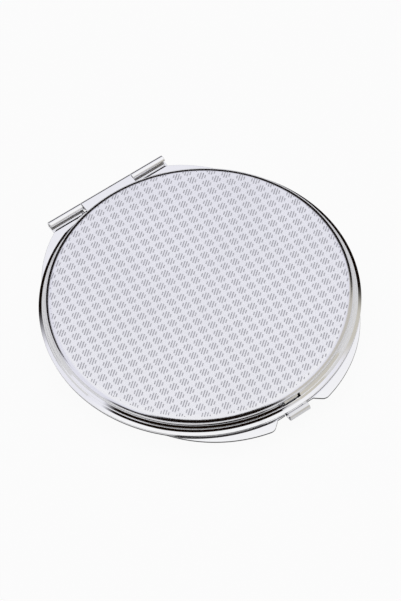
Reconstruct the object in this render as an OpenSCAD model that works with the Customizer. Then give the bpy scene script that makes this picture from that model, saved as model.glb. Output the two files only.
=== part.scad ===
// Round compact mirror: a stamped lid and base on a three-knuckle hinge, closed by a spring latch.
// Origin: centre of the round case on its flat bottom. The hinge is towards +Y, the latch towards -Y.

/* [Case] */
// Radius of the round flanges of the lid and the base
rim_r = 33.2; // [32.6:0.1:36]
// Thickness of the stamped steel sheet
sheet = 0.4; // [0.3:0.05:0.45]
// Gap between the two flanges when the case is closed
seam = 0.15; // [0.1:0.05:0.25]

/* [Base pan] */
// Height of the base, from the table to the top face of its flange
base_h = 4.35; // [4.2:0.05:6]
// How much smaller the radius of the tapered wall is at the table than at the flange
pan_taper = 2.2; // [1.6:0.1:2.4]
// Outer radius of the bend between the floor and the wall
floor_bend = 0.8; // [0.5:0.1:1]
// How far the flange stands out from the top of the wall
wall_lip = 0.2; // [0.1:0.05:0.4]

/* [Base flange ears] */
// How far the flange's arc beside the latch would stand out from the round flange
latch_ear_reach = 2.5; // [2.1:0.1:3]
// How much smaller the radius of that arc is than the round flange's
latch_ear_tighter = 4.1; // [3.6:0.1:4.6]
// How far the flange's arc beside the hinge would stand out from the round flange
hinge_ear_reach = 3.4; // [3:0.1:3.8]
// How much smaller the radius of that arc is than the round flange's
hinge_ear_tighter = 5.2; // [4.8:0.1:5.6]
// Width of the finger notch between the latch ears, at its floor
notch_w = 9.2; // [8:0.1:10]
// Extra half width of the notch at the tips of the ears
notch_flare = 2.8; // [2:0.1:3.4]
// Corner radius of the ears
ear_corner = 1.6; // [1:0.1:2]
// Radius of the hollow between each ear and the round flange
ear_blend = 9; // [6:0.5:12]

/* [Lid] */
// Height of the lid's flange above the lid's lower edge
flange_h = 1.2; // [1.1:0.05:1.3]
// Width of the flange beyond the lid's upright wall
lid_flange_w = 1.0; // [0.8:0.05:1.1]
// How far the flange's turned-down edge stands out from the base's flange
lip_over = 0.25; // [0.1:0.05:0.3]
// How far that edge slopes out from its top to its bottom
lip_flare = 0.5; // [0.35:0.05:0.55]
// Height of the notch in that edge for the latch
lip_notch_h = 0.7; // [0.6:0.05:0.75]
// Height of the lid's flat top above its lower edge
lid_h = 2.7; // [2.6:0.05:3.4]

/* [Disc] */
// Thickness of the ornamental disc
disc_t = 0.7; // [0.65:0.05:0.9]
// Width of the margin of the lid's top left free round the disc
disc_margin = 0.57; // [0.45:0.02:0.75]
// Width of the disc's rolled-down edge
disc_edge_w = 1.49; // [1.35:0.02:1.55]
// Radius of the first, wide part of that roll
disc_roll = 2.2; // [2:0.1:2.4]
// Radius of its last, tight part
disc_edge_r = 0.76; // [0.7:0.02:0.8]
// Thickness of the film of glue under the disc
film_t = 0.1; // [0.05:0.05:0.15]

/* [Mirrors] */
// Space round the edge of each glass, inside the ring's skirt
glass_play = 0.15; // [0.1:0.05:0.3]
// Thickness of the plain glass in the lid
plain_glass_t = 1.2; // [1:0.1:1.3]
// Thickness of the bent magnifying glass in the base
bent_glass_t = 1.5; // [1.2:0.1:1.6]
// Radius of curvature of the magnifying glass's face
magnifier_r = 430; // [400:10:800]
// Thickness of the foam pad behind the plain glass
lid_pad_t = 0.6; // [0.5:0.05:0.7]
// How far the ring over the magnifying glass lies below the top of the base
ring_drop = 0.3; // [0.2:0.05:0.4]
// Sheet thickness of the two rings that hold the glasses
ring_t = 0.3; // [0.2:0.05:0.35]
// How far the rings reach over the edge of the glass
ring_cover = 0.8; // [0.5:0.1:1.5]

/* [Hinge] */
// Diameter of the hinge pin
pin_d = 0.9; // [0.8:0.05:1]
// Running clearance round the pin, on the radius
pin_clear = 0.04; // [0.02:0.01:0.08]
// Length of the whole row of knuckles
hinge_w = 29.2; // [26:0.1:30]
// Length of the lid's middle knuckle
knuckle_w = 12.6; // [11:0.1:14]
// Gap between neighbouring knuckles
knuckle_gap = 0.12; // [0.08:0.02:0.2]
// Distance from the flanges' edge to the pin's axis
hinge_reach = 0.96; // [0.96:0.02:1.3]

/* [Latch] */
// Width of the latch strip and of its rolled thumb piece
latch_w = 4.8; // [4:0.1:5.2]
// Thickness of the latch strip
spring_t = 0.3; // [0.2:0.05:0.3]
// Outer diameter of the rolled thumb piece
thumb_d = 1.72; // [1.5:0.02:1.8]
// Gap between the thumb piece and the lid's edge, which is the travel of the latch
thumb_gap = 0.24; // [0.24:0.02:0.4]
// Width of the upright tongue that carries the nose
tongue_w = 3.3; // [3:0.1:3.5]
// How far the nose stands over the lower edge of the window
nose_bite = 0.18; // [0.1:0.02:0.2]
// Width of the window in the lid's wall
window_w = 4.3; // [4:0.1:4.6]
// Height of the window
window_h = 0.96; // [0.86:0.02:1.0]

/* [Hidden] */
$fn = 128;
corner_fn = 20;
sphere_fn = 1440;

// One overrun for every cut
cut = 0.5;
// Clearance of a loose fit between pieces that don't move on each other
fit = 0.05;
// Slit left where a rolled edge comes round to its own strip
roll_slit = 0.12;

// Base
wall_top = rim_r - wall_lip;
floor_r = wall_top - pan_taper;
flange_z = base_h - sheet;
wall_slope = (wall_top - floor_r) / flange_z;
wall_run = sheet * sqrt(1 + wall_slope * wall_slope);
function pan_inner_r(z) = floor_r + wall_slope * z - wall_run;
mouth_r = pan_inner_r(base_h);
latch_ear_r = rim_r - latch_ear_tighter;
hinge_ear_r = rim_r - hinge_ear_tighter;
latch_ear_y = -(rim_r + latch_ear_reach - latch_ear_r);
hinge_ear_y = rim_r + hinge_ear_reach - hinge_ear_r;

// Hinge
eye_d = pin_d + 2 * pin_clear + 2 * sheet;
hinge_y = rim_r + hinge_reach;
hinge_z = flange_z + eye_d / 2;
knuckle_relief = 0.3;
rear_edge = rim_r - knuckle_relief;
outer_knuckle_w = (hinge_w - knuckle_w) / 2 - knuckle_gap;

// Lid
lid_z = base_h + seam;
foot_z = lid_z + flange_h;
lid_top = lid_z + lid_h;
ceiling_z = lid_top - sheet;
disc_z = lid_top + film_t;
wall_r = rim_r - lid_flange_w;
lip_r = rim_r + lip_over;
edge_r = lip_r - lip_flare;
lip_slope = lip_flare / flange_h;
lip_run = sheet * sqrt(1 + lip_slope * lip_slope);
disc_r = wall_r - disc_margin;
flat_r = disc_r - disc_edge_w;
edge_round = 0.12;
foot_round = 0.17;
// Inside of the wall
hoop_r = wall_r - sheet;

// Mirrors and the rings that hold them
skirt_out_r = floor_r - floor_bend - 3 * fit;
skirt_r = skirt_out_r - ring_t;
glass_r = skirt_r - glass_play;
pad_r = glass_r - ring_cover;
magnifier_sag = magnifier_r - sqrt(magnifier_r * magnifier_r - glass_r * glass_r);
base_ring_z = base_h - ring_drop - ring_t;
base_glass_z = base_ring_z - fit - magnifier_sag - bent_glass_t;
base_pad_t = base_glass_z - sheet;
lid_glass_z = ceiling_z - lid_pad_t;
lid_ring_z = lid_glass_z - plain_glass_t - fit - ring_t;
lid_ring_r = hoop_r - 2 * fit;
base_ring_r = pan_inner_r(base_ring_z) - 3 * fit;

// Latch: the strip bends at the pivot, climbs along the wall, and splits into an arm and a tongue
latch_clear = 0.2;
pivot_y = -(skirt_out_r + fit);
pivot_z = sheet + spring_t / 2;
foot_gap = 0.03;
foot_len = 4.2;
foot_start_y = pivot_y + spring_t / 2 + foot_gap;
foot_end_y = foot_start_y + foot_len;
arm_z = flange_z;
thumb_y = -(rim_r + thumb_gap + thumb_d / 2);
thumb_z = arm_z + thumb_d / 2;
tongue_y = -(hoop_r - 2 * latch_clear);
window_z = foot_z + fit;
nose_z = window_z + fit;
nose_y = -(hoop_r + nose_bite);
nose_lip = 0.3;
tongue_top = ceiling_z - latch_clear;
slot_half = latch_w / 2 + latch_clear;

// Draws a profile given in Y and Z and extrudes it w wide, centred on X
module across(w) {
    rotate([90, 0, 90]) linear_extrude(height = w, center = true) children();
}

// Rounds the outer corners of a profile by out, and fills its inner corners by inn
module soften(out, inn) {
    offset(r = out, $fn = corner_fn) offset(delta = -out)
        offset(r = -inn, $fn = corner_fn) offset(delta = inn) children();
}

// A sheet edge rolled upwards into an eye about the origin, whose strip leaves below towards -Y
module rolled_eye(d, t, run) {
    difference() {
        union() {
            circle(d = d);
            translate([-run, -d / 2]) square([run, t]);
        }
        circle(d = d - 2 * t);
        translate([-d, -d / 2 + t]) square([d, roll_slit]);
    }
}

// The half section of the base pan, with its bent corner
module pan_section() {
    difference() {
        intersection() {
            pan_fill(0);
            square([wall_top, base_h]);
        }
        pan_fill(sheet);
    }
}

// The pan's filled half section, moved inwards by the thickness of the sheet
module pan_fill(inset) {
    top_r = floor_r + wall_slope * (base_h + cut);
    intersection() {
        offset(r = floor_bend - inset) offset(delta = -floor_bend)
            polygon([[-floor_r, 0], [floor_r, 0], [top_r, base_h + cut], [top_r, base_h + 3 * cut],
                     [-top_r, base_h + 3 * cut]]);
        square([top_r, base_h + cut]);
    }
}

// The outline of the base's flange: a round rim that swells into ears at the hinge and the latch
module flange_outline() {
    notch_y = -(rim_r + wall_lip / 2);
    tip_y = latch_ear_y - latch_ear_r;
    half = notch_w / 2;
    offset(r = ear_corner) offset(delta = -ear_corner) difference() {
        offset(r = -ear_blend) offset(delta = ear_blend) union() {
            circle(r = rim_r);
            translate([0, hinge_ear_y]) circle(r = hinge_ear_r);
            translate([0, latch_ear_y]) circle(r = latch_ear_r);
        }
        translate([-rim_r, rear_edge]) square([2 * rim_r, rim_r]);
        polygon([[-half, notch_y], [half, notch_y], [half + notch_flare, tip_y - cut],
                 [-half - notch_flare, tip_y - cut]]);
    }
}

module base_shell() {
    color("#d9dbe0") difference() {
        union() {
            rotate_extrude() pan_section();
            translate([0, 0, flange_z]) linear_extrude(height = sheet) difference() {
                flange_outline();
                circle(r = mouth_r);
            }
            for (side = [-1, 1])
                translate([side * (hinge_w - outer_knuckle_w) / 2, hinge_y, hinge_z])
                    across(outer_knuckle_w) rolled_eye(eye_d, sheet, hinge_y - rear_edge + sheet);
        }
        translate([-slot_half, -rim_r - cut, arm_z - latch_clear])
            cube([2 * slot_half, rim_r - hoop_r + 2 * cut, sheet + latch_clear + cut]);
    }
}

module base_mirror_pad() {
    color("#4a4a4c") translate([0, 0, sheet]) difference() {
        cylinder(r = pad_r, h = base_pad_t);
        translate([-slot_half, -glass_r, -cut])
            cube([2 * slot_half, glass_r + foot_end_y + latch_clear, base_pad_t + 2 * cut]);
    }
}

// The magnifying glass is bent to a sphere, so both faces are hollow upwards
module base_mirror() {
    color("#b9c6cf") translate([0, 0, base_glass_z]) rotate_extrude() intersection() {
        translate([0, magnifier_r]) difference() {
            circle(r = magnifier_r, $fn = sphere_fn);
            circle(r = magnifier_r - bent_glass_t, $fn = sphere_fn);
        }
        square([glass_r, bent_glass_t + 2 * magnifier_sag]);
    }
}

// Stands on the base's floor round the glass and covers its edge and the space up to the wall
module base_mirror_ring() {
    color("#c9ccd2") difference() {
        rotate_extrude() union() {
            translate([skirt_r, sheet]) square([ring_t, base_ring_z - sheet + ring_t / 2]);
            translate([glass_r - ring_cover, base_ring_z])
                square([base_ring_r - glass_r + ring_cover, ring_t]);
        }
        translate([-slot_half, -rim_r, -cut]) cube([2 * slot_half, rim_r - glass_r, base_h + 2 * cut]);
    }
}

// The flat end of the latch strip, welded to the base's floor
module latch_foot() {
    color("#a9abb0") translate([-latch_w / 2, foot_start_y, sheet])
        cube([latch_w, foot_len, spring_t]);
}

// The moving part of the latch strip: riser, arm with the rolled thumb piece, and tongue with the nose
module latch_tongue() {
    elbow = [tongue_y + spring_t / 2, arm_z + spring_t / 2];
    lean = atan((pivot_y - elbow[0]) / (elbow[1] - pivot_z));
    riser_len = norm([pivot_y - elbow[0], elbow[1] - pivot_z]);
    color("#cfd1d6") {
        across(latch_w) translate([pivot_y, pivot_z]) rotate(lean) union() {
            circle(d = spring_t);
            translate([-spring_t / 2, 0]) square([spring_t, riser_len]);
            translate([0, riser_len]) circle(d = spring_t);
        }
        difference() {
            across(latch_w) translate([thumb_y, thumb_z]) mirror([1, 0])
                rolled_eye(thumb_d, spring_t, elbow[0] - thumb_y);
            translate([-tongue_w / 2 - fit, tongue_y - tongue_top + arm_z, arm_z - cut])
                cube([tongue_w + 2 * fit, tongue_top - arm_z, spring_t + 2 * cut]);
        }
        across(tongue_w) polygon([
            [tongue_y + spring_t, arm_z], [tongue_y + spring_t, tongue_top], [tongue_y, tongue_top],
            [nose_y, nose_z + nose_lip], [nose_y, nose_z], [tongue_y, nose_z], [tongue_y, arm_z]]);
    }
}

module hinge_pin() {
    color("#8f9196") translate([0, hinge_y, hinge_z]) rotate([0, 90, 0])
        cylinder(d = pin_d, h = hinge_w - 2 * fit, center = true);
}

// The half section of the lid: flange with its turned-down edge, upright wall and flat top
module lid_section() {
    soften(edge_round, foot_round) difference() {
        union() {
            polygon([[-cut, lid_z], [lip_r, lid_z], [edge_r, foot_z], [-cut, foot_z]]);
            translate([-cut, lid_z]) square([wall_r + cut, lid_h]);
        }
        polygon([[-2 * cut, lid_z - cut], [lip_r + lip_slope * cut - lip_run, lid_z - cut],
                 [edge_r + lip_slope * sheet - lip_run, foot_z - sheet], [-2 * cut, foot_z - sheet]]);
        translate([-2 * cut, lid_z - cut]) square([hoop_r + 2 * cut, lid_h - sheet + cut]);
    }
}

module lid_shell() {
    color("#e2e3e8") {
        difference() {
            rotate_extrude() intersection() {
                lid_section();
                square([lip_r, lid_top + cut]);
            }
            translate([-slot_half, -lip_r - cut, lid_z - cut])
                cube([2 * slot_half, lip_r - hoop_r + cut, lip_notch_h + cut]);
            translate([-window_w / 2, -rim_r, window_z])
                cube([window_w, rim_r - hoop_r + 2 * fit, window_h]);
        }
        difference() {
            translate([0, hinge_y, hinge_z]) mirror([0, 0, 1])
                across(knuckle_w) rolled_eye(eye_d, sheet, hinge_y - wall_r + sheet / 2);
            translate([0, 0, lid_z - cut]) cylinder(r = wall_r - sheet / 2, h = lid_h);
        }
    }
}

module lid_disc_film() {
    color("#e8e4d8") translate([0, 0, lid_top]) cylinder(r = disc_r - cut, h = film_t);
}

// The disc's face is flat, and its edge is rolled down in two arcs
module lid_disc() {
    color("#dcdde4") translate([0, 0, disc_z]) rotate_extrude() intersection() {
        offset(r = disc_edge_r) offset(delta = -disc_edge_r) intersection() {
            translate([-disc_r, -2 * disc_t]) square([2 * disc_r, 3 * disc_t]);
            union() {
                translate([-disc_r, -2 * disc_t]) square([disc_r + flat_r, 3 * disc_t]);
                translate([flat_r, disc_t - disc_roll]) circle(r = disc_roll);
            }
        }
        square([disc_r, disc_t]);
    }
}

module lid_mirror_pad() {
    color("#4a4a4c") translate([0, 0, lid_glass_z]) cylinder(r = pad_r, h = lid_pad_t);
}

module lid_mirror() {
    color("#b9c6cf") translate([0, 0, lid_glass_z - plain_glass_t]) cylinder(r = glass_r, h = plain_glass_t);
}

// Hangs from the lid's ceiling round the glass and covers its edge, with a gap for the latch's tongue
module lid_mirror_ring() {
    color("#c9ccd2") difference() {
        rotate_extrude() union() {
            translate([skirt_r, lid_ring_z + ring_t / 2])
                square([ring_t, ceiling_z - lid_ring_z - ring_t / 2]);
            translate([glass_r - ring_cover, lid_ring_z])
                square([lid_ring_r - glass_r + ring_cover, ring_t]);
        }
        translate([-slot_half, -rim_r, lid_ring_z - cut])
            cube([2 * slot_half, rim_r - skirt_out_r - fit, lid_h]);
    }
}

base_shell();
base_mirror_pad();
base_mirror();
base_mirror_ring();
latch_foot();
latch_tongue();
hinge_pin();
lid_shell();
lid_disc_film();
lid_disc();
lid_mirror_pad();
lid_mirror();
lid_mirror_ring();
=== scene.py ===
"""Round compact mirror: a stamped, nickel-plated case with a hatched disc, a rolled hinge and a thumb latch."""

import math
from types import SimpleNamespace

import bmesh
import bpy
from bpy.props import FloatProperty, FloatVectorProperty, IntProperty, PointerProperty
from mathutils import Matrix, Vector


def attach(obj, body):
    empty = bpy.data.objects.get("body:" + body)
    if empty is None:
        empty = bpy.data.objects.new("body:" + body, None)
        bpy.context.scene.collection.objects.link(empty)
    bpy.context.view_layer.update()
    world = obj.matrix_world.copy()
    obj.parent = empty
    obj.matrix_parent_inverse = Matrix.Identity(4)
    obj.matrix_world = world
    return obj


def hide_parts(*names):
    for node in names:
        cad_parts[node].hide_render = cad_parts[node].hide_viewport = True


bl_info = {
    "name": "Round Compact Mirror",
    "version": (1, 0, 0),
    "blender": (4, 5, 0),
    "location": "View3D > Sidebar > Compact Mirror",
    "description": "Builds the case, hinge, latch, disc and mirrors of a round compact mirror",
    "category": "Add Mesh",
}

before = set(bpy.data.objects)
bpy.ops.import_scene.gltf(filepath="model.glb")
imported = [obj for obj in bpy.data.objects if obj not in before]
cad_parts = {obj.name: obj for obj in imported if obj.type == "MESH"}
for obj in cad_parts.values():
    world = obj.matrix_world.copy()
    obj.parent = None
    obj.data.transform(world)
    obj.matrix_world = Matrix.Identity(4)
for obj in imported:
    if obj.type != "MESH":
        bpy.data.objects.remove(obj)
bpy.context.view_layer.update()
MM = 0.001
BEVEL_MID = 0.29  # where the middle of a rounded edge lies, as a share of its radius
LATCH_CLEAR = 0.2 * MM  # room round the latch strip in the pieces that it passes
FOOT_GAP = 0.03 * MM  # between the latch's bending part and its welded foot
RING_DEPTH = 0.3 * MM  # how deep the base's ring lies under the flange
RING_PLAY = 0.05 * MM  # between a ring and its glass
ALIKE = 1e-7  # heights closer than this are the same ring of a profile
TINY = 1e-9  # lengths below this count as none
DASH_ANGLE = 39  # degrees from +X to the dashes of the disc's dots
DASHES = (-1.5, -0.5, 0.5, 1.5)  # places of a dot's dashes, in dash pitches
DASH_MARGIN = 1.1 * MM  # how far inside the wall's radius the dashes end
FILM_MARGIN = 0.75 * MM  # how far inside it the film of glue ends
LATTICE_ANGLE = -96.9  # degrees from +X to the rows of dots
LATTICE_SHIFT = (0.951, -0.755)  # where the lattice starts from the disc's centre, in dot pitches
FLOOR_HALF = 3  # half the floor's width in metres
CAMERA_WHITE = 0.93  # how far the floor is white paper of its own light to the camera
MIRRORED_WHITE = 0.4  # the same in reflections


def linear(code):
    """An sRGB hex colour as the linear colour that Blender stores."""
    parts = [int(code[i : i + 2], 16) / 255 for i in (1, 3, 5)]
    return tuple(c / 12.92 if c <= 0.04045 else ((c + 0.055) / 1.055) ** 2.4 for c in parts)


def length(name, text, value):
    """A size property, given in millimetres and kept in metres."""
    return FloatProperty(
        name=name, description=text, default=value * MM, min=0, unit="LENGTH", subtype="DISTANCE", precision=5
    )


def colour(name, text, code):
    """A colour property, given as sRGB hex."""
    return FloatVectorProperty(
        name=name, description=text, default=linear(code), size=3, min=0, max=1, subtype="COLOR"
    )


def angle(name, text, value):
    """An angle property, given in degrees and kept in radians."""
    return FloatProperty(name=name, description=text, default=math.radians(value), subtype="ANGLE")


class CaseSizes(bpy.types.PropertyGroup):
    """Sizes of the stamped lid and base"""

    rim_r: length("Flange radius", "Radius of the round flanges of lid and base", 33.2)
    sheet: length("Sheet", "Thickness of the stamped sheet", 0.4)
    seam: length("Seam", "Gap between the two flanges", 0.15)
    base_h: length("Base height", "Height of the base's flange above the table", 4.35)
    pan_taper: length("Pan taper", "How much narrower the pan's wall is at the table", 2.2)
    floor_bend: length("Floor bend", "Outer radius of the bend between floor and wall", 0.8)
    wall_lip: length("Wall lip", "How far the flange stands out from the wall", 0.2)
    lid_flange_w: length("Lid flange", "How far the lid's wall stands inside the flange's edge", 1.325)
    flange_h: length("Flange height", "Height of the lid's flange above the lid's lower edge", 1.2)
    step_w: length("Step", "Width of the flat step at the foot of the lid's wall", 0.1)
    flare_w: length("Flare width", "How far the foot of the lid's wall flares out", 0.375)
    flare_h: length("Flare height", "How high up the wall that flare begins", 0.7)
    skirt_w: length("Skirt width", "How far the skirt below the step slopes out", 0.3)
    skirt_h: length("Skirt height", "How far the skirt falls", 0.45)
    brim_drop: length("Brim drop", "How far the shallow brim below the skirt falls", 0.32)
    lip_over: length("Brim overhang", "How far the brim stands out from the base's flange", 0.13)
    lid_h: length("Lid height", "Height of the lid's flat top above its lower edge", 2.7)
    window_w: length("Window width", "Width of the window in the lid's wall", 4.3)
    window_h: length("Window height", "Height of the window in the lid's wall", 0.96)
    latch_ear_reach: length("Latch ear reach", "How far the latch ears' arc stands out", 2.5)
    latch_ear_tighter: length("Latch ear arc", "How much smaller than the rim that arc is", 4.1)
    hinge_ear_reach: length("Hinge ear reach", "How far the hinge ears' arc stands out", 3.4)
    hinge_ear_tighter: length("Hinge ear arc", "How much smaller than the rim that arc is", 5.2)
    notch_w: length("Notch width", "Width of the finger notch at its floor", 9.2)
    notch_flare: length("Notch flare", "Extra half width of the notch at the ears' tips", 2.8)
    ear_corner: length("Ear corner", "Corner radius of the ears", 1.6)
    ear_blend: length("Ear blend", "Radius of the hollow blend between ear and rim", 9.0)


class HingeSizes(bpy.types.PropertyGroup):
    """Sizes of the hinge"""

    pin_d: length("Pin", "Diameter of the hinge pin", 0.9)
    pin_clear: length("Clearance", "Running clearance round the pin", 0.04)
    hinge_w: length("Hinge width", "Length of the row of knuckles", 29.2)
    knuckle_w: length("Middle knuckle", "Length of the lid's knuckle", 12.6)
    knuckle_gap: length("Knuckle gap", "Gap between knuckles", 0.12)
    reach: length("Reach", "Distance from the flanges' edge to the pin", 0.96)
    relief: length("Relief", "How far the base's flange ends short of the rim at the hinge", 0.3)


class LatchSizes(bpy.types.PropertyGroup):
    """Sizes of the latch strip"""

    strip_w: length("Strip width", "Width of the latch strip", 4.8)
    strip_t: length("Strip thickness", "Thickness of the latch strip", 0.3)
    thumb_d: length("Thumb piece", "Diameter of the rolled thumb piece", 1.72)
    thumb_gap: length("Thumb gap", "Gap between thumb piece and lid", 0.24)
    tongue_w: length("Tongue width", "Width of the upright tongue", 3.3)
    nose_bite: length("Nose", "How far the nose stands out of the window", 0.08)
    foot_len: length("Foot", "Length of the welded foot", 4.2)


class DiscSizes(bpy.types.PropertyGroup):
    """Sizes of the disc and its hatched dots"""

    disc_t: length("Thickness", "Thickness of the disc", 0.67)
    film_t: length("Glue", "Thickness of the film of glue under it", 0.1)
    edge_w: length("Rolled edge", "Width of the rolled edge that the disc and the lid share", 1.685)
    roll_r: length("Wide roll", "Radius of the first part of that roll", 2.3)
    edge_r: length("Tight roll", "Radius of its last part", 1.0)
    pitch: length("Dot pitch", "Distance between neighbouring dots", 2.301)
    dot_r: length("Dot radius", "Radius of a hatched dot", 0.9)
    dash_pitch: length("Dash pitch", "Distance between the dashes of a dot", 0.52)
    dash_w: length("Dash width", "Width of a dash", 0.23)
    dash_h: length("Dash height", "How far a dash stands out of the disc", 0.03)


class MirrorSizes(bpy.types.PropertyGroup):
    """Sizes of the two glasses and what holds them"""

    glass_r: length("Glass radius", "Radius of both glasses", 29.4)
    plain_t: length("Plain glass", "Thickness of the lid's glass", 1.2)
    plain_gap: length("Plain glass recess", "How deep the lid's glass lies in the lid", 0.5)
    bent_t: length("Bent glass", "Thickness of the magnifying glass", 1.5)
    bend_r: length("Bend radius", "Radius of curvature of the magnifying glass", 430)
    ring_t: length("Ring sheet", "Thickness of the rings' sheet", 0.3)
    ring_cover: length("Ring cover", "How far a ring covers the glass", 0.8)


class Finishes(bpy.types.PropertyGroup):
    """Colours of the object's materials"""

    nickel: colour("Nickel", "Bright nickel plate", "#F5F5F7")
    disc: colour("Disc", "Satin aluminium of the disc", "#EEEEF3")
    hatch: colour("Hatching", "Etched dashes", "#C6C6CE")
    silver: colour("Silvering", "Silvered glass", "#E6EAEC")
    foam: colour("Foam", "Closed-cell foam", "#3A3A3C")
    wire: colour("Wire", "Drawn steel wire", "#B4B2AF")
    glue: colour("Glue", "Adhesive film", "#DAD4C2")
    floor: colour("Floor", "Pale paper floor", "#F4F4F4")


class StageSettings(bpy.types.PropertyGroup):
    """Where the camera and the studio stand"""

    lens: FloatProperty(name="Lens", description="Focal length in millimetres", default=167.34)
    distance: length("Distance", "Camera to target", 581.81)
    bearing: angle("Bearing", "Ground direction of the camera", -121.375)
    elevation: angle("Elevation", "Height angle of the camera", 55.57)
    roll: angle("Roll", "Roll of the camera", -4.781)
    target: FloatVectorProperty(
        name="Target", description="Point in the middle of the picture", default=(0.00155, 0.002284, 0), unit="LENGTH"
    )
    sectors: IntProperty(name="Sectors", description="Steps round each turned form", default=512, min=32)
    overhead: colour("Overhead", "Light tent above", "#FFFFFF")
    tent: colour("Tent", "White side of the tent", "#F1F1F8")
    cream: colour("Cream card", "Cream card on the right", "#CFCBC0")
    opening: colour("Opening", "Dark openings of the tent", "#140C08")


GROUPS = {
    "mirror_case": CaseSizes,
    "mirror_hinge": HingeSizes,
    "mirror_latch": LatchSizes,
    "mirror_disc": DiscSizes,
    "mirror_glass": MirrorSizes,
    "mirror_finish": Finishes,
    "mirror_stage": StageSettings,
}


def heights(s):
    """Heights and radii of the case that several pieces share."""
    h = SimpleNamespace()
    h.wall_top = s.rim_r - s.wall_lip
    h.floor_r = h.wall_top - s.pan_taper
    h.flange_z = s.base_h - s.sheet
    h.pivot_r = h.floor_r - s.floor_bend - 0.1 * MM
    h.slope = (h.wall_top - h.floor_r) / h.flange_z
    h.wall_run = s.sheet * math.sqrt(1 + h.slope ** 2)
    h.lid_z = s.base_h + s.seam
    h.foot_z = h.lid_z + s.flange_h
    h.lid_top = h.lid_z + s.lid_h
    h.ceiling = h.lid_top - s.sheet
    h.wall_r = s.rim_r - s.lid_flange_w
    h.hoop_r = h.wall_r - s.sheet
    h.lip_r = s.rim_r + s.lip_over
    h.step_r = h.wall_r + s.flare_w + s.step_w
    h.skirt_r = h.step_r + s.skirt_w
    h.skirt_z = h.foot_z - s.skirt_h
    h.brim_z = h.skirt_z - s.brim_drop
    h.window_z = h.foot_z + 0.05 * MM
    h.window_top = h.window_z + s.window_h
    return h


def hinge_axis(s, g):
    """Outer diameter of the eyes and the place of the pin."""
    eye = g.pin_d + 2 * g.pin_clear + 2 * s.sheet
    return eye, s.rim_r + g.reach, s.base_h - s.sheet + eye / 2


def rounded(corners, closed=True, steps=6):
    """A flat path through corners given as (a, b, radius), with each corner rounded by an arc."""
    path = []
    count = len(corners)
    for i, (x, y, r) in enumerate(corners):
        here = Vector((x, y))
        if r <= 0 or (not closed and i in (0, count - 1)):
            path.append((x, y))
            continue
        before = Vector(corners[i - 1][:2]) - here
        after = Vector(corners[(i + 1) % count][:2]) - here
        half = before.angle(after) / 2
        reach = min(r / math.tan(half), 0.49 * min(before.length, after.length))
        r = reach * math.tan(half)
        centre = here + (before.normalized() + after.normalized()).normalized() * (r / math.sin(half))
        start = here + before.normalized() * reach - centre
        end = here + after.normalized() * reach - centre
        turn = start.angle_signed(end)
        n = max(2, round(steps * abs(turn) / (math.pi / 2)))
        for k in range(n + 1):
            p = centre + Matrix.Rotation(-turn * k / n, 2) @ start
            path.append((p.x, p.y))
    return path


def arc(x, y, r, start, end, n):
    """Points on an arc about (x, y), angles in degrees."""
    angles = [math.radians(start + (end - start) * k / n) for k in range(n + 1)]
    return [(x + r * math.cos(a), y + r * math.sin(a)) for a in angles]


def finish_mesh(name, bm, material, body, nodes=(), sharp=50):
    """Turns a bmesh into a shaded piece that rides on a body and stands for CAD nodes.

    Each corner's normal is the mean of the faces round it, by area, so that flats stay flat between rounds.
    """
    bmesh.ops.recalc_face_normals(bm, faces=bm.faces)
    bm.normal_update()
    limit = math.cos(math.radians(sharp))
    weighted = {f: f.normal * f.calc_area() for f in bm.faces}
    normals = []
    for f in bm.faces:
        for v in f.verts:
            near = [weighted[g] for g in v.link_faces if g.normal.dot(f.normal) > limit]
            normals.append(sum(near, Vector()).normalized())
    mesh = bpy.data.meshes.new(name)
    bm.to_mesh(mesh)
    bm.free()
    mesh.shade_smooth()
    mesh.normals_split_custom_set(normals)
    mesh.materials.append(material)
    piece = bpy.data.objects.new(name, mesh)
    bpy.context.scene.collection.objects.link(piece)
    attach(piece, body)
    if nodes:
        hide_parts(*nodes)
    return piece


def turned(bm, profile, angles, closed=True, shapes=None):
    """Revolves a profile of (radius, height) about Z and returns its rings of vertices.

    shapes maps a profile index to a list of (x, y), one for each angle, where a ring isn't round.
    """
    rings = []
    for i, (r, z) in enumerate(profile):
        if r < TINY:
            rings.append([bm.verts.new((0, 0, z))])
        elif shapes and i in shapes:
            rings.append([bm.verts.new((x, y, z)) for x, y in shapes[i]])
        else:
            rings.append([bm.verts.new((r * math.cos(a), r * math.sin(a), z)) for a in angles])
    n = len(angles)
    faces = {}
    for i in range(len(rings) if closed else len(rings) - 1):
        a, b = rings[i], rings[(i + 1) % len(rings)]
        if len(a) == 1 and len(b) == 1:
            continue
        for j in range(n):
            k = (j + 1) % n
            corner = [a[j % len(a)], b[j % len(b)], b[k % len(b)], a[k % len(a)]]
            loop = [v for m, v in enumerate(corner) if v is not corner[m - 1]]
            faces[i, j] = bm.faces.new(loop)
    return rings, faces


def even(n, snap=()):
    """n even angles round the circle, with the nearest one moved onto each angle in snap."""
    angles = [-math.pi + 2 * math.pi * k / n for k in range(n)]
    for a in snap:
        near = min(range(n), key=lambda k: abs(angles[k] - a))
        angles[near] = a
    return angles


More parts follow.
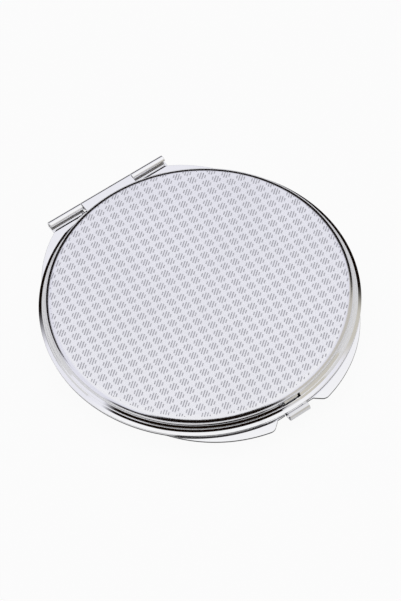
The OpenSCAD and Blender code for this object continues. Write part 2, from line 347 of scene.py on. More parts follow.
def opening(bm, rings, faces, outer, inner, cols, top=True):
    """Cuts a four-sided hole through a turned sheet and closes its edges.

    outer and inner are the first and last ring of the hole on each side, from its foot to its top. Without
    a top, the hole runs on round the edge of the sheet that joins both sides.
    """

    def span(pair):
        step = 1 if pair[1] >= pair[0] else -1
        return list(range(pair[0], pair[1] + step, step))

    out, inn = span(outer), span(inner)
    rows = [min(a, b) for side in (out, inn) for a, b in zip(side, side[1:])]
    if not top:
        low, high = sorted((out[-1], inn[-1]))
        rows += range(low, high)
    gone = [faces.pop((i, j)) for i in rows for j in range(*cols)]
    bmesh.ops.delete(bm, geom=gone, context="FACES_ONLY")
    ends = [(out[0], inn[0])] + ([(out[-1], inn[-1])] if top else [])
    for a, b in ends:
        for j in range(*cols):
            bm.faces.new((rings[a][j], rings[a][j + 1], rings[b][j + 1], rings[b][j]))
    between = [] if top else list(range(out[-1], inn[-1], 1 if inn[-1] > out[-1] else -1))[1:]
    for j in cols:
        bm.faces.new([rings[i][j] for i in out + between + inn[::-1]])


def inset_path(path, d):
    """A closed path moved inwards by d, with the path running anticlockwise."""
    moved = []
    for i, p in enumerate(path):
        a = Vector(p) - Vector(path[i - 1])
        b = Vector(path[(i + 1) % len(path)]) - Vector(p)
        a = a.normalized() if a.length > TINY else b.normalized()
        b = b.normalized() if b.length > TINY else a
        mid = (a + b).normalized()
        side = Vector((-mid.y, mid.x))
        grow = max(0.6, side.dot(Vector((-b.y, b.x))))
        moved.append((p[0] + side.x * d / grow, p[1] + side.y * d / grow))
    return moved


def area(path):
    """Signed area of a closed path."""
    return sum(a[0] * b[1] - b[0] * a[1] for a, b in zip(path, path[1:] + path[:1])) / 2


def skin(bm, rows):
    """Closes a solid through rows of vertices that lie over each other."""
    n = len(rows[0])
    for a, b in zip(rows, rows[1:]):
        for j in range(n):
            bm.faces.new((a[j], a[(j + 1) % n], b[(j + 1) % n], b[j]))
    bm.faces.new(rows[0][::-1])
    bm.faces.new(rows[-1])


def plate(r, low, high, bend, sectors, steps=3):
    """A round plate with rounded edges, from its underside to its face."""
    bm = bmesh.new()
    profile = [(0, low, 0), (r, low, bend), (r, high, bend), (0, high, 0)]
    turned(bm, rounded(profile, steps=steps), even(sectors))
    return bm


def across(bm, path, x0, x1, bevel):
    """Extrudes a closed path of (y, z) along X, with its end edges rounded."""
    path = path if area(path) > 0 else path[::-1]
    rounds = ((0, bevel), (BEVEL_MID * bevel, BEVEL_MID * bevel), (bevel, 0))
    rows = [(x0 + a, b) for a, b in rounds] + [(x1 - a, b) for a, b in reversed(rounds)]
    skin(bm, [[bm.verts.new((x, y, z)) for y, z in inset_path(path, d)] for x, d in rows])


def block(bm, low, high, bevel):
    """A box with rounded edges, laid across X."""
    corners = ((low[1], low[2]), (high[1], low[2]), (high[1], high[2]), (low[1], high[2]))
    across(bm, rounded([(y, z, bevel) for y, z in corners], steps=3), low[0], high[0], bevel)


def rolled(y, z, r, t, run, away, over=False, slit=0.12 * MM):
    """Outline in (y, z) of a sheet edge rolled into an eye.

    The strip leaves towards away (+1 or -1 in y) for run, below the eye or, if over, above it.
    """
    end = -180 - math.degrees(math.asin((r - t - slit) / r))
    outer = arc(0, 0, r, -90, 360 + end, 40)
    inner = arc(0, 0, r - t, 360 + end, -90, 36)
    # drawn with the strip leaving towards -a, then mirrored into place
    path = [(-run, -r)] + outer + inner + [(-run, t - r)]
    return [(y + (a if away < 0 else -a), z + (-b if over else b)) for a, b in path]


def add_node(tree, kind, links=None, **settings):
    """Adds a shader node, sets its properties and sockets, and links it from other sockets."""
    node = tree.nodes.new(kind)
    for key, value in settings.items():
        if hasattr(node, key):
            setattr(node, key, value)
        else:
            node.inputs[key.replace("_", " ")].default_value = value
    for socket, source in (links or {}).items():
        tree.links.new(source, node.inputs[socket])
    return node


def new_material(name, metallic, roughness):
    """A material with a principled shader: its tree, the shader and object coordinates in metres."""
    material = bpy.data.materials.new(name)
    material.use_nodes = True
    tree = material.node_tree
    shader = tree.nodes["Principled BSDF"]
    shader.inputs["Metallic"].default_value = metallic
    shader.inputs["Roughness"].default_value = roughness
    place = add_node(tree, "ShaderNodeTexCoord")
    return material, tree, shader, place.outputs["Object"]


def noise(tree, place, size, detail, **settings):
    """The strength of a noise whose spots are about size across."""
    node = add_node(tree, "ShaderNodeTexNoise", {"Vector": place}, Scale=1 / size, Detail=detail, **settings)
    return node.outputs["Fac"]


def tint(tree, shader, factor, finish, dark, light=1.0):
    """Colours a shader between a darker and a lighter shade of one of the finishes."""
    colour = getattr(bpy.context.scene.mirror_finish, finish)
    tone = add_node(tree, "ShaderNodeMix", {"Factor": factor}, data_type="RGBA")
    for socket, shade in (("A", dark), ("B", light)):
        tone.inputs[socket].default_value = (*[min(1, c * shade) for c in colour], 1)
    tree.links.new(tone.outputs["Result"], shader.inputs["Base Color"])


def dent(tree, shader, height, strength, depth):
    """Gives a shader a fine relief of that depth."""
    bump = add_node(tree, "ShaderNodeBump", {"Height": height}, Strength=strength, Distance=depth)
    tree.links.new(bump.outputs["Normal"], shader.inputs["Normal"])


def bright_nickel(name, shade=1.0):
    """Steel sheet, stamped, polished and nickel plated.

    The eye gets sharp reflections, a very slight cool tint, the faint long ripple of pressed sheet and
    patches of fine handling marks, which dull the polish here and there. A shade below 1 is a darker plate.
    """
    material, tree, shader, place = new_material(name, 1, 0.05)
    ripple = noise(tree, place, 9 * MM, 1.0)
    marks = noise(tree, place, 0.5 * MM, 6.0, Roughness=0.6)
    tint(tree, shader, marks, "nickel", dark=0.97 * shade, light=shade)
    rough = add_node(
        tree, "ShaderNodeMapRange", {"Value": marks}, From_Min=0.35, From_Max=0.75, To_Min=0.035, To_Max=0.07
    )
    tree.links.new(rough.outputs["Result"], shader.inputs["Roughness"])
    dent(tree, shader, ripple, strength=0.25, depth=0.02 * MM)
    return material


def sheared_edge_with_painted_shade():
    """The same plated sheet where the press sheared it: matt and finely mottled, and dark grey, a colour that paints in
    the shade and dark reflection that the thin edge shows.
    """
    material, tree, shader, place = new_material("sheared_nickel_edge", 1, 0.45)
    # painted shade: the edge's colour is kept between 8 and 20 per cent of the nickel, darker than bare sheared steel
    tint(tree, shader, noise(tree, place, 0.3 * MM, 3.0), "nickel", dark=0.08, light=0.2)
    return material


def satin_aluminium():
    """Aluminium disc, rolled, satin and clear lacquered.

    The eye gets a soft, pale lavender sheen with a fine grain of about 0.1 mm, drawn 0.3 mm coarse, and very
    faint clouds about 14 mm across.
    """
    material, tree, shader, place = new_material("satin_aluminium", 1, 0.13)
    grain, cloud = noise(tree, place, 0.3 * MM, 3.0), noise(tree, place, 14 * MM, 1.0)
    tint(tree, shader, both(tree, grain, cloud), "disc", dark=0.93, light=1.07)
    dent(tree, shader, grain, strength=0.3, depth=0.02 * MM)
    return material


def etched_hatching():
    """The disc's dashes, etched and left matt, so that they look darker than the satin round them."""
    material, tree, shader, place = new_material("etched_aluminium", 0.6, 0.45)
    tint(tree, shader, noise(tree, place, 0.4 * MM, 2.0), "hatch", dark=0.8, light=1.2)
    return material


def silvered_glass():
    """Float glass, silvered on its back: a clean mirror with a slight green-grey body."""
    material, tree, shader, place = new_material("silvered_float_glass", 1, 0.01)
    tint(tree, shader, noise(tree, place, 12 * MM, 2.0), "silver", dark=0.97)
    return material


def closed_cell_foam():
    """Closed-cell foam, cut: matt, dark, with cells about 0.3 mm across."""
    material, tree, shader, place = new_material("closed_cell_foam", 0, 0.9)
    cells = add_node(tree, "ShaderNodeTexVoronoi", {"Vector": place}, Scale=1 / (0.3 * MM)).outputs["Distance"]
    tint(tree, shader, cells, "foam", dark=0.7, light=1.5)
    dent(tree, shader, cells, strength=0.5, depth=0.05 * MM)
    return material


def drawn_wire():
    """Steel wire, drawn and cut: dull grey with fine lines along its length, drawn 0.1 mm apart."""
    material, tree, shader, place = new_material("drawn_steel_wire", 1, 0.3)
    stretch = add_node(tree, "ShaderNodeMapping", {"Vector": place}, Scale=(0.05, 1, 1))
    tint(tree, shader, noise(tree, stretch.outputs["Vector"], 0.1 * MM, 2.0), "wire", dark=0.8)
    return material


def glue_film():
    """Acrylic adhesive film: cream, slightly glossy, with a faint wave."""
    material, tree, shader, place = new_material("acrylic_adhesive_film", 0, 0.35)
    tint(tree, shader, noise(tree, place, 3 * MM, 2.0), "glue", dark=0.92)
    return material


def roll_centre(s, d):
    """The roll from the disc's face into the lid's wall: a wide arc, then a tight one.

    Returns the radius and height where it starts, the angle where the arcs meet and the tight arc's height.
    """
    h = heights(s)
    flat = h.wall_r - d.edge_w
    reach = h.wall_r - d.edge_r - flat
    turn = math.acos(reach / (d.roll_r - d.edge_r))
    top = h.lid_top + d.film_t + d.disc_t
    return flat, top, turn, top - d.roll_r + (d.roll_r - d.edge_r) * math.sin(turn)


def lid_profile(s, d):
    """The lid's closed half section as corners, (radius, height, rounding)."""
    h = heights(s)
    t = s.sheet
    z = roll_centre(s, d)[3]
    start = math.asin((h.lid_top - z) / d.edge_r)
    roll = arc(h.wall_r - d.edge_r, z, d.edge_r, math.degrees(start), 0, 8)
    outside = [
        (0, h.lid_top, 0),
        *[(x, y, 0) for x, y in roll],
        (h.wall_r, h.window_top, 0),
        (h.wall_r, h.foot_z + s.flare_h, 0.15 * MM),
        (h.wall_r + s.flare_w, h.foot_z + 0.2 * MM, 0.08 * MM),
        (h.wall_r + s.flare_w, h.foot_z, 0.04 * MM),
        (h.step_r, h.foot_z, 0.08 * MM),
        (h.skirt_r, h.skirt_z, 0.15 * MM),
        (h.lip_r, h.brim_z, 0.06 * MM),
        (h.lip_r - 0.03 * MM, h.lid_z, 0.05 * MM),
    ]
    inside = [
        (h.skirt_r - 0.15 * MM, h.lid_z, 0.15 * MM),
        (h.step_r - 0.3 * MM, h.foot_z - t, 0.2 * MM),
        (h.hoop_r + s.flare_w - 0.05 * MM, h.foot_z - t, 0.12 * MM),
        (h.hoop_r, h.foot_z + s.flare_h - 0.1 * MM, 0),
        (h.hoop_r, h.window_top, 0),
        (h.hoop_r, h.ceiling, 0.17 * MM),
        (0, h.ceiling, 0),
    ]
    return outside, inside


class MIRROR_OT_lid(bpy.types.Operator):
    """Build the lid's shell with its wall, flange, window and middle knuckle"""

    bl_idname = "mirror.lid"
    bl_label = "Lid shell"

    def execute(self, context):
        s, g = context.scene.mirror_case, context.scene.mirror_hinge
        h = heights(s)
        outside, inside = lid_profile(s, context.scene.mirror_disc)
        profile = rounded(outside + inside, steps=7)
        bm = bmesh.new()
        half = math.asin(s.window_w / 2 / h.wall_r)
        edges = (-math.pi / 2 - half, -math.pi / 2 + half)
        angles = even(context.scene.mirror_stage.sectors, edges)
        rings, faces = turned(bm, profile, angles)
        front, back = [i for i, (_, z) in enumerate(profile) if abs(z - h.window_top) < ALIKE]
        # the window's sill slopes from just above the flange down to just under it inside
        high, low = h.foot_z + 0.12 * MM, h.foot_z - 0.1 * MM
        sill = min(i for i, (_, z) in enumerate(profile) if i > front and z < high)
        inner_sill = max(i for i, (_, z) in enumerate(profile) if i < back and z < low)
        opening(bm, rings, faces, (sill, front), (inner_sill, back), [angles.index(a) for a in edges])
        eye, y, z = hinge_axis(s, g)
        run = y - h.wall_r + s.sheet / 2
        knuckle = rolled(y, z, eye / 2, s.sheet, run, -1, over=True)
        across(bm, knuckle, -g.knuckle_w / 2, g.knuckle_w / 2, 0.06 * MM)
        finish_mesh("lid_shell_plated", bm, bright_nickel("bright_nickel_lid"), "lid", ["lid_shell"])
        return {"FINISHED"}


def flange_outline(s, g):
    """Outline of the base's flange, anticlockwise from the middle of the hinge, with its left half mirrored."""
    r_l, r_h = s.rim_r - s.latch_ear_tighter, s.rim_r - s.hinge_ear_tighter
    c_l, c_h = -(s.rim_r + s.latch_ear_reach - r_l), s.rim_r + s.hinge_ear_reach - r_h
    rear = s.rim_r - g.relief
    notch_y = -(s.rim_r + s.wall_lip / 2)
    tip = c_l - r_l - 0.5 * MM
    foot = Vector((s.notch_w / 2, notch_y))
    flank = Vector((s.notch_w / 2 + s.notch_flare, tip)) - foot
    out = Vector((-flank.y, flank.x)).normalized()
    # the ear's corner: a circle inside both the flank and the ear's arc
    rc = s.ear_corner
    low, high = 0.0, 1.0
    for _ in range(60):
        mid = (low + high) / 2
        c = foot + out * rc + flank * mid
        low, high = (mid, high) if (c - Vector((0, c_l))).length < r_l - rc else (low, mid)
    corner = foot + out * rc + flank * low
    a0 = math.degrees(math.atan2(-out.y, -out.x))
    a1 = math.degrees(math.atan2(corner.y - c_l, corner.x))
    right = [(0, notch_y), (s.notch_w / 4, notch_y), (foot.x - 0.4 * MM, notch_y)]
    right += [(foot.x - 0.1 * MM, notch_y - 0.05 * MM), (foot.x + 0.1 * MM, notch_y - 0.3 * MM)]
    right += arc(corner.x, corner.y, rc, a0, a1, 10)

    rb = s.ear_blend

    def blend(cy, r):
        """Centre of the hollow blend between the rim and an ear's arc."""
        ra, rr = r + rb, s.rim_r + rb
        y = (rr**2 - ra**2 + cy**2) / (2 * cy)
        return Vector((math.sqrt(rr**2 - y**2), y))

    b_l, b_h = blend(c_l, r_l), blend(c_h, r_h)

    def deg(v):
        return math.degrees(math.atan2(v.y, v.x))

    right += arc(0, c_l, r_l, a1, deg(b_l - Vector((0, c_l))), 40)[1:]
    right += arc(b_l.x, b_l.y, rb, deg(Vector((0, c_l)) - b_l) % 360, deg(-b_l) % 360, 8)[1:]
    right += arc(0, 0, s.rim_r, deg(b_l), deg(b_h), 90)[1:]
    right += arc(b_h.x, b_h.y, rb, deg(-b_h) % 360, deg(Vector((0, c_h)) - b_h) % 360, 8)[1:]
    last = math.degrees(math.asin((rear - c_h) / r_h))
    right += arc(0, c_h, r_h, deg(b_h - Vector((0, c_h))), last, 30)[1:]
    x_end = right[-1][0]
    right += [(x_end * k / 8, rear) for k in range(7, 0, -1)]
    return [(0, rear)] + [(-x, y) for x, y in right[:0:-1]] + right


class MIRROR_OT_base(bpy.types.Operator):
    """Build the base's pan and flange with its ears, notch and two outer knuckles"""

    bl_idname = "mirror.base"
    bl_label = "Base shell"

    def execute(self, context):
        s, g, l = context.scene.mirror_case, context.scene.mirror_hinge, context.scene.mirror_latch
        h = heights(s)
        t, top, under = s.sheet, s.base_h, h.flange_z
        outline = flange_outline(s, g)
        angles = [math.atan2(y, x) for x, y in outline]
        slot = l.strip_w / 2 + LATCH_CLEAR
        near = []
        for x in (-slot, slot):
            front = [k for k, point in enumerate(outline) if point[1] <= 0]
            k = min(front, key=lambda k: abs(outline[k][0] - x))
            outline[k] = (x, outline[k][1])
            angles[k] = math.atan2(outline[k][1], x)
            near.append(k)

        def inner_r(z):
            """Radius of the pan's inside at height z."""
            return h.floor_r + h.slope * z - h.wall_run

        slot_z = under - LATCH_CLEAR
        corners = [
            (0, 0, 0),
            (h.floor_r, 0, s.floor_bend),
            (h.floor_r + h.slope * slot_z, slot_z, 0),
            (h.wall_top, under, 0.08 * MM),
        ]
        profile = rounded(corners + [(h.wall_top + 0.09 * MM, under, 0)], closed=False, steps=8)
        edge = len(profile)
        b = 0.07 * MM
        m = BEVEL_MID * b
        rim = [(b, under), (m, under + m), (0, under + b), (0, top - b), (m, top - m), (b, top)]
        profile += [(1, z) for _, z in rim]
        mouth = [
            (inner_r(top) + 0.02 * MM, top, 0),
            (inner_r(top), top, 0.2 * MM),
            (inner_r(slot_z), slot_z, 0),
            (inner_r(t), t, s.floor_bend - t),
            (0, t, 0),
        ]
        profile += rounded(mouth, closed=False, steps=8)
        shapes = {edge + i: inset_path(outline, d) for i, (d, _) in enumerate(rim)}
        bm = bmesh.new()
        rings, faces = turned(bm, profile, angles, closed=False, shapes=shapes)
        outer, inner = [i for i, (_, z) in enumerate(profile) if abs(z - slot_z) < ALIKE]
        opening(bm, rings, faces, (outer, edge + 2), (inner, edge + 3), tuple(near), top=False)
        eye, y, z = hinge_axis(s, g)
        run = y - (s.rim_r - g.relief) + t
        inner_x, outer_x = g.knuckle_w / 2 + g.knuckle_gap, g.hinge_w / 2
        for a, c in ((inner_x, outer_x), (-outer_x, -inner_x)):
            across(bm, rolled(y, z, eye / 2, t, run, -1), a, c, 0.08 * MM)
        metal = bright_nickel("bright_nickel_base")
        piece = finish_mesh("base_shell_plated", bm, metal, "base", ["base_shell"])
        piece.data.materials.append(sheared_edge_with_painted_shade())
        # the flange's cut edge, up to the strips of the hinge, is left as the press sheared it and given a painted
        # shade that darkens it
        edge_r, strip_y = h.wall_top + 0.1 * MM, s.rim_r - g.relief - 0.2 * MM
        for face in piece.data.polygons:
            x, y, z = face.center
            upright = abs(face.normal.z) < 0.5 and under < z < top
            face.material_index = int(upright and math.hypot(x, y) > edge_r and y < strip_y)
        return {"FINISHED"}


class MIRROR_OT_pin(bpy.types.Operator):
    """Build the hinge pin with its peened ends"""

    bl_idname = "mirror.pin"
    bl_label = "Hinge pin"

    def execute(self, context):
        s, g = context.scene.mirror_case, context.scene.mirror_hinge
        _, y, z = hinge_axis(s, g)
        r, half, peen = g.pin_d / 2, g.hinge_w / 2 - 0.05 * MM, 0.15 * MM
        dome = [(r * a, half - peen + peen * b) for a, b in arc(0, 0, 1, 0, 90, 6)]
        profile = dome + [(a, -b) for a, b in reversed(dome)]
        bm = bmesh.new()
        turned(bm, profile, even(48))
        bmesh.ops.remove_doubles(bm, verts=bm.verts, dist=1e-8)
        across_x = Matrix.Translation((0, y, z)) @ Matrix.Rotation(math.pi / 2, 4, "Y")
        bmesh.ops.transform(bm, verts=bm.verts, matrix=across_x)
        finish_mesh("hinge_pin_wire", bm, drawn_wire(), "base", ["hinge_pin"])
        return {"FINISHED"}


class MIRROR_OT_disc(bpy.types.Operator):
    """Build the disc, its hatched dots and its film of glue"""

    bl_idname = "mirror.disc"
    bl_label = "Disc"

    def execute(self, context):
        s, d = context.scene.mirror_case, context.scene.mirror_disc
        h = heights(s)
        low = h.lid_top + 0.01 * MM
        r = h.wall_r
        flat, top, turn, tight_z = roll_centre(s, d)

        def surface(x):
            """Height of the disc's face at radius x."""
            if x < flat + d.roll_r * math.cos(turn):
                return top - d.roll_r + math.sqrt(d.roll_r**2 - max(0.0, x - flat) ** 2)
            return tight_z + math.sqrt(max(0.0, d.edge_r**2 - (x - r + d.edge_r) ** 2))

        lean = math.asin((low - tight_z) / d.edge_r)
        face = [(flat * k / 8, top) for k in range(9)]
        face += arc(flat, top - d.roll_r, d.roll_r, 90, math.degrees(turn), 10)[1:]
        face += arc(r - d.edge_r, tight_z, d.edge_r, math.degrees(turn), math.degrees(lean), 10)[1:]
        edge = face[-1][0]
        under = h.lid_top + d.film_t
        rim = [(edge - 0.02 * MM, low), (edge - 0.4 * MM, low), (edge - 0.45 * MM, under), (0, under)]
        bm = bmesh.new()
        turned(bm, face + rim, even(360), closed=False)
        finish_mesh("lid_disc_satin", bm, satin_aluminium(), "lid", ["lid_disc"])

        bm = bmesh.new()
        along, side = compass(DASH_ANGLE).xy, compass(DASH_ANGLE + 90).xy
        u, v = compass(LATTICE_ANGLE).xy, compass(LATTICE_ANGLE + 90).xy
        limit = r - DASH_MARGIN
        reach = int(limit / d.pitch) + 2
        for i in range(-reach, reach + 1):
            for j in range(-reach, reach + 1):
                dot = d.pitch * ((i + LATTICE_SHIFT[0]) * u + (j + LATTICE_SHIFT[1]) * v)
                if dot.length > limit + d.dot_r:
                    continue
                for k in DASHES:
                    off = k * d.dash_pitch
                    half = math.sqrt(max(d.dot_r**2 - off**2, 0))
                    self.dash(bm, dot + side * off, along, side, half, d, limit, surface)
        finish_mesh("lid_disc_hatching", bm, etched_hatching(), "lid", (), sharp=80)

        bm = plate(r - FILM_MARGIN, h.lid_top, under, 0.03 * MM, 180, steps=2)
        finish_mesh("lid_disc_glue", bm, glue_film(), "lid", ["lid_disc_film"])
        return {"FINISHED"}

    @staticmethod
    def dash(bm, mid, along, side, half, d, limit, surface):
        """One low, round-ended dash, shortened where it would pass the disc's edge."""
        inside = [t for t in (k * half / 8 for k in range(-8, 9)) if (mid + along * t).length < limit]
        if len(inside) < 3:
            return
        a, b = inside[0], inside[-1]
        w = d.dash_w / 2
        outline = [(a, 0), (a + 0.3 * w, 0.7 * w), (a + w, w), (b - w, w), (b - 0.3 * w, 0.7 * w)]
        outline += [(b, 0), (b - 0.3 * w, -0.7 * w), (b - w, -w), (a + w, -w), (a + 0.3 * w, -0.7 * w)]
        rows = []
        for share, lift in ((1, -0.02 * MM), (1, 0.4 * d.dash_h), (0.55, d.dash_h)):
            row = []
            for t, q in outline:
                t = (a + b) / 2 + (t - (a + b) / 2) * (1 - (1 - share) * w / max(half, w))
                p = mid + along * t + side * q * share
                row.append(bm.verts.new((p.x, p.y, surface(p.length) + lift)))
            rows.append(row)
        skin(bm, rows)


class MIRROR_OT_latch(bpy.types.Operator):
    """Build the latch strip with its rolled thumb piece, its tongue and nose, and its welded foot"""

    bl_idname = "mirror.latch"
    bl_label = "Latch"

    def execute(self, context):
        s, l = context.scene.mirror_case, context.scene.mirror_latch
        h = heights(s)
        t, arm = l.strip_t, h.flange_z
        b = 0.05 * MM
        y_thumb, z_thumb = -(s.rim_r + l.thumb_gap + l.thumb_d / 2), arm + l.thumb_d / 2
        wall_clear = 0.09 * MM  # between the tongue and the lid's wall
        tongue_y, top = -(h.hoop_r - wall_clear), h.ceiling - LATCH_CLEAR
        nose_y, nose_z = -(h.wall_r + l.nose_bite), h.window_z + 0.05 * MM
        pivot = Vector((-h.pivot_r, s.sheet + t / 2))
        elbow = Vector((tongue_y + t / 2, arm + t / 2))
        bm = bmesh.new()
        hole = tongue_y - (top - arm)
        half_w = l.strip_w / 2
        across(bm, rolled(y_thumb, z_thumb, l.thumb_d / 2, t, hole - y_thumb, 1), -half_w, half_w, b)
        # the tongue is bent up out of the strip, which leaves a hole between two rails
        rail = l.tongue_w / 2 + 0.05 * MM
        for x0, x1 in ((-half_w, -rail), (rail, half_w)):
            block(bm, (x0, hole - 0.05 * MM, arm), (x1, elbow.x, arm + t), b)
        axis = (elbow - pivot).normalized()
        across_dir = Vector((-axis.y, axis.x)) * t / 2
        riser = [pivot + across_dir, pivot - across_dir, elbow - across_dir, elbow + across_dir]
        riser[3].y = riser[3].y + 0.05 * MM
        across(bm, rounded([(p.x, p.y, t / 2.2) for p in riser], steps=5), -half_w, half_w, b)
        tongue = [
            (tongue_y + t, arm, 0.1 * MM),
            (tongue_y + t, top, 0.1 * MM),
            (tongue_y, top, 0.12 * MM),
            (nose_y, nose_z + 0.3 * MM, 0.1 * MM),
            (nose_y, nose_z, 0.06 * MM),
            (tongue_y, nose_z, 0.06 * MM),
            (tongue_y, arm, 0.1 * MM),
        ]
        across(bm, rounded(tongue, steps=4), -l.tongue_w / 2, l.tongue_w / 2, b)
        metal = bright_nickel("bright_nickel_spring", 0.86)
        finish_mesh("latch_strip_rolled", bm, metal, "latch", ["latch_tongue"])

        bm = bmesh.new()
        y0 = pivot.x + t / 2 + FOOT_GAP
        block(bm, (-half_w, y0, s.sheet), (half_w, y0 + l.foot_len, s.sheet + t), b)
        weld_z = s.sheet + t
        corners = [
            (0, weld_z - 0.02 * MM, 0),
            (0.5 * MM, weld_z - 0.02 * MM, 0),
            (0.35 * MM, weld_z + 0.05 * MM, 0.1 * MM),
            (0, weld_z + 0.03 * MM, 0),
        ]
        weld = rounded(corners, closed=False, steps=3)
        for x in (-half_w / 2, half_w / 2):
            start = len(bm.verts)
            turned(bm, weld, even(24), closed=False)
            bm.verts.ensure_lookup_table()
            bmesh.ops.translate(bm, verts=bm.verts[start:], vec=(x, y0 + l.foot_len * 0.6, 0))
        metal = bright_nickel("bright_nickel_foot")
        finish_mesh("latch_foot_welded", bm, metal, "base", ["latch_foot"])
        return {"FINISHED"}


class MIRROR_OT_glasses(bpy.types.Operator):
    """Build the plain and the magnifying glass, with their foam pads"""

    bl_idname = "mirror.glasses"
    bl_label = "Mirrors and pads"

    def execute(self, context):
        s, m, l = context.scene.mirror_case, context.scene.mirror_glass, context.scene.mirror_latch
        h = heights(s)
        glass, foam = silvered_glass(), closed_cell_foam()
        r = m.glass_r
        low = h.lid_z + m.plain_gap
        top = low + m.plain_t
        c = 0.12 * MM
        finish_mesh("lid_mirror_silvered", plate(r, low, top, c, 256), glass, "lid", ["lid_mirror"])

        pad_r = r - m.ring_cover
        bm = plate(pad_r, top, h.ceiling, c, 128)
        piece = finish_mesh("lid_foam_pad", bm, foam, "lid", ["lid_mirror_pad"])

        sag = m.bend_r - math.sqrt(m.bend_r**2 - r**2)
        ring_z = s.base_h - RING_DEPTH - m.ring_t
        base = ring_z - RING_PLAY - sag - m.bent_t

        def bowl(x, radius, z):
            """Height at radius x of a bowl that is lowest at z."""
            return z + radius - math.sqrt(radius**2 - x**2)

        steps = 24
        radii = [r * k / steps for k in range(1, steps)]
        upper = [(0, base + m.bent_t)] + [(x, bowl(x, m.bend_r - m.bent_t, base + m.bent_t)) for x in radii]
        lower = [(x, bowl(x, m.bend_r, base)) for x in reversed(radii)] + [(0, base)]
        high, low = bowl(r, m.bend_r - m.bent_t, base + m.bent_t), bowl(r, m.bend_r, base)
        f = 0.3 * c
        rim = [(r - c, high), (r - f, high - f), (r, high - c), (r, low + c), (r - f, low + f), (r - c, low)]
        bm = bmesh.new()
        turned(bm, upper + rim + lower, even(256), closed=False)
        finish_mesh("base_mirror_silvered", bm, glass, "base", ["base_mirror"])

        bm = bmesh.new()
        slot = l.strip_w / 2 + LATCH_CLEAR
        half = math.degrees(math.asin(slot / pad_r))
        y_cut = -h.pivot_r + l.strip_t / 2 + FOOT_GAP + l.foot_len + LATCH_CLEAR
        outline = arc(0, 0, pad_r, half - 90, 270 - half, 160) + [(-slot, y_cut), (slot, y_cut)]
        levels = ((s.sheet, c), (s.sheet + c, 0), (base - c, 0), (base, c))
        skin(bm, [[bm.verts.new((x, y, z)) for x, y in inset_path(outline, d)] for z, d in levels])
        piece = finish_mesh("base_foam_pad", bm, foam, "base", ["base_mirror_pad"])
        return {"FINISHED"}


class MIRROR_OT_rings(bpy.types.Operator):
    """Build the two rings that hold the glasses"""

    bl_idname = "mirror.rings"
    bl_label = "Mirror rings"

    def execute(self, context):
        s, m, l = context.scene.mirror_case, context.scene.mirror_glass, context.scene.mirror_latch
        h = heights(s)
        metal = bright_nickel("bright_nickel_ring")
        t = m.ring_t
        skirt_out = h.floor_r - s.floor_bend - 0.15 * MM
        skirt = skirt_out - t
        half = math.asin((l.strip_w / 2 + LATCH_CLEAR) / skirt_out)
        # two of the angles line up with the sides of the latch's strip
        angles = even(360, (-math.pi / 2 - half, -math.pi / 2 + half))
        c, bend = 0.06 * MM, 0.1 * MM
        mouth = m.glass_r - m.ring_cover
        ring_z = s.base_h - RING_DEPTH - t
        base_out = h.floor_r + h.slope * ring_z - h.wall_run - 0.15 * MM
        base_ring = [
            (skirt, s.sheet, c),
            (skirt_out, s.sheet, c),
            (skirt_out, ring_z, bend),
            (base_out, ring_z, c),
            (base_out, ring_z + t, c),
            (mouth, ring_z + t, c),
            (mouth, ring_z, c),
            (skirt, ring_z, bend),
        ]
        low = h.lid_z + m.plain_gap - RING_PLAY - t
        lid_out = h.hoop_r + 0.2 * MM
        lid_ring = [
            (skirt, h.ceiling, c),
            (skirt, low + t, bend),
            (mouth, low + t, c),
            (mouth, low, c),
            (lid_out, low, c),
            (lid_out, low + t, c),
            (skirt_out, low + t, bend),
            (skirt_out, h.ceiling, c),
        ]
        for body, section in (("base", base_ring), ("lid", lid_ring)):
            bm = bmesh.new()
            turned(bm, rounded(section, steps=3), angles)
            finish_mesh(f"{body}_mirror_bezel", bm, metal, body, [f"{body}_mirror_ring"])
        return {"FINISHED"}


def compass(azimuth, elevation=0.0):
    """The direction with that compass and height angle, in degrees."""
    a, e = math.radians(azimuth), math.radians(elevation)
    return Vector((math.cos(e) * math.cos(a), math.cos(e) * math.sin(a), math.sin(e)))


def ramp(tree, value, low, high):
    """0 below low and 1 above high, with a smooth change between."""
    smooth = {"interpolation_type": "SMOOTHSTEP", "From_Min": low, "From_Max": high}
    return add_node(tree, "ShaderNodeMapRange", {"Value": value}, **smooth).outputs["Result"]


def sector(tree, level, azimuth, half, soft):
    """1 in the directions within half of an azimuth, in degrees."""
    turn = add_node(tree, "ShaderNodeVectorMath", {0: level}, operation="DOT_PRODUCT")
    turn.inputs[1].default_value = compass(azimuth)
    a, b = math.cos(math.radians(half + soft)), math.cos(math.radians(max(half - soft, 0)))
    return ramp(tree, turn.outputs["Value"], a, b)


def both(tree, a, b):
    """The product of two masks."""
    return add_node(tree, "ShaderNodeMath", {0: a, 1: b}, operation="MULTIPLY").outputs["Value"]


def over(tree, under, colour, mask):
    """A colour laid over what is under it where the mask is 1."""
    node = add_node(tree, "ShaderNodeMix", {"Factor": mask, "A": under}, data_type="RGBA")
    node.inputs["B"].default_value = (*colour, 1)
    return node.outputs["Result"]


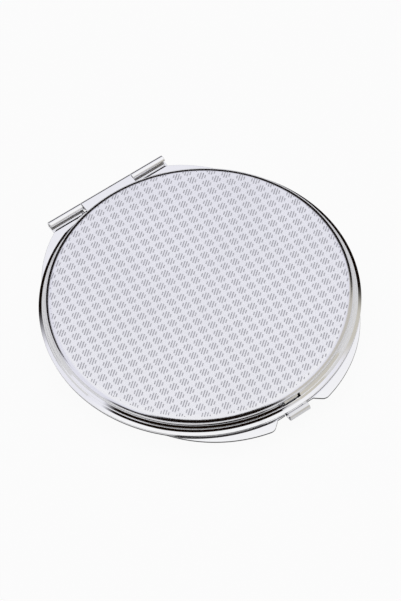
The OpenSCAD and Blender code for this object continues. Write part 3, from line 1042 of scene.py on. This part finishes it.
class MIRROR_OT_stage(bpy.types.Operator):
    """Set the floor, the light tent round the object and the camera"""

    bl_idname = "mirror.stage"
    bl_label = "Stage"

    def execute(self, context):
        st = context.scene.mirror_stage
        scene = context.scene
        camera = bpy.data.cameras.new("camera")
        camera.lens = st.lens
        camera.clip_start, camera.clip_end = 0.01, 20
        eye = bpy.data.objects.new("camera", camera)
        scene.collection.objects.link(eye)
        back = compass(math.degrees(st.bearing), math.degrees(st.elevation))
        turn = back.to_track_quat("Z", "Y").to_matrix().to_4x4() @ Matrix.Rotation(st.roll, 4, "Z")
        eye.matrix_world = Matrix.Translation(Vector(st.target) + back * st.distance) @ turn
        scene.camera = eye
        scene.view_settings.view_transform = "Standard"

        world = bpy.data.worlds.new("studio")
        world.use_nodes = True
        scene.world = world
        tree = world.node_tree
        sky = tree.nodes["Background"]
        place = add_node(tree, "ShaderNodeTexCoord").outputs["Generated"]
        height = add_node(tree, "ShaderNodeSeparateXYZ", {0: place}).outputs["Z"]
        flat = add_node(tree, "ShaderNodeVectorMath", {0: place}, operation="MULTIPLY")
        flat.inputs[1].default_value = (1, 1, 0)
        level = add_node(tree, "ShaderNodeVectorMath", {0: flat.outputs[0]}, operation="NORMALIZE").outputs[0]

        def card(under, colour, azimuth, half, soft, top, edge):
            """A card or opening of the tent up to the height angle top, with soft sides and a soft upper edge."""
            low = ramp(tree, height, math.sin(math.radians(top + edge)), math.sin(math.radians(top - edge)))
            return over(tree, under, colour, both(tree, sector(tree, level, azimuth, half, soft), low))

        base = add_node(tree, "ShaderNodeRGB").outputs["Color"]
        base.default_value = (*st.tent, 1)
        ceiling = ramp(tree, height, math.sin(math.radians(50)), math.sin(math.radians(62)))
        base = card(base, st.cream, azimuth=-30, half=44, soft=6, top=45, edge=4)
        base = card(base, st.opening, azimuth=71, half=70, soft=5, top=33, edge=5)
        base = over(tree, base, st.overhead, ceiling)
        base = card(base, st.opening, azimuth=-120, half=44, soft=4, top=66, edge=1.5)
        base = card(base, st.opening, azimuth=-165, half=16, soft=5, top=35, edge=10)
        tree.links.new(base, sky.inputs["Color"])
        white = add_node(tree, "ShaderNodeBackground", Color=(1, 1, 1, 1))
        path = add_node(tree, "ShaderNodeLightPath")
        mix = add_node(
            tree, "ShaderNodeMixShader", {0: path.outputs["Is Camera Ray"], 1: sky.outputs[0], 2: white.outputs[0]}
        )
        tree.links.new(mix.outputs[0], tree.nodes["World Output"].inputs["Surface"])

        paper, tree, matt, _ = new_material("white_paper_floor", 0, 0.9)
        matt.inputs["Base Color"].default_value = (*scene.mirror_finish.floor, 1)
        matt.inputs["Specular IOR Level"].default_value = 0
        glow = add_node(tree, "ShaderNodeEmission", Color=(1, 1, 1, 1))
        path = add_node(tree, "ShaderNodeLightPath")
        share = add_node(tree, "ShaderNodeMath", {0: path.outputs["Is Camera Ray"]}, operation="MULTIPLY")
        share.inputs[1].default_value = CAMERA_WHITE
        both_rays = add_node(
            tree, "ShaderNodeMath", {0: path.outputs["Is Glossy Ray"], 2: share.outputs[0]}, operation="MULTIPLY_ADD"
        )
        both_rays.inputs[1].default_value = MIRRORED_WHITE
        blend = add_node(tree, "ShaderNodeMixShader", {0: both_rays.outputs[0], 1: matt.outputs[0], 2: glow.outputs[0]})
        tree.links.new(blend.outputs[0], tree.nodes["Material Output"].inputs["Surface"])
        bm = bmesh.new()
        bmesh.ops.create_grid(bm, x_segments=8, y_segments=8, size=FLOOR_HALF)
        sheet = bpy.data.meshes.new("floor")
        bm.to_mesh(sheet)
        bm.free()
        sheet.materials.append(paper)
        floor = bpy.data.objects.new("floor", sheet)
        scene.collection.objects.link(floor)
        return {"FINISHED"}


OPERATORS = (
    MIRROR_OT_lid,
    MIRROR_OT_base,
    MIRROR_OT_pin,
    MIRROR_OT_disc,
    MIRROR_OT_latch,
    MIRROR_OT_glasses,
    MIRROR_OT_rings,
    MIRROR_OT_stage,
)


class MIRROR_PT_panel(bpy.types.Panel):
    """Lists the builders of the compact mirror and their sizes"""

    bl_idname = "MIRROR_PT_panel"
    bl_label = "Compact Mirror"
    bl_space_type = "VIEW_3D"
    bl_region_type = "UI"
    bl_category = "Compact Mirror"

    def draw(self, context):
        for operator in OPERATORS:
            self.layout.operator(operator.bl_idname)
        for name, group in GROUPS.items():
            box = self.layout.box()
            box.label(text=group.__doc__)
            for key in group.__annotations__:
                box.prop(getattr(context.scene, name), key)


def register():
    for cls in (*GROUPS.values(), *OPERATORS, MIRROR_PT_panel):
        bpy.utils.register_class(cls)
    for name, group in GROUPS.items():
        setattr(bpy.types.Scene, name, PointerProperty(type=group))


def unregister():
    for name in GROUPS:
        delattr(bpy.types.Scene, name)
    for cls in reversed((*GROUPS.values(), *OPERATORS, MIRROR_PT_panel)):
        bpy.utils.unregister_class(cls)


def main():
    register()
    bpy.ops.mirror.lid()
    bpy.ops.mirror.base()
    bpy.ops.mirror.pin()
    bpy.ops.mirror.disc()
    bpy.ops.mirror.latch()
    bpy.ops.mirror.glasses()
    bpy.ops.mirror.rings()
    bpy.ops.mirror.stage()


if __name__ == "__main__":
    main()
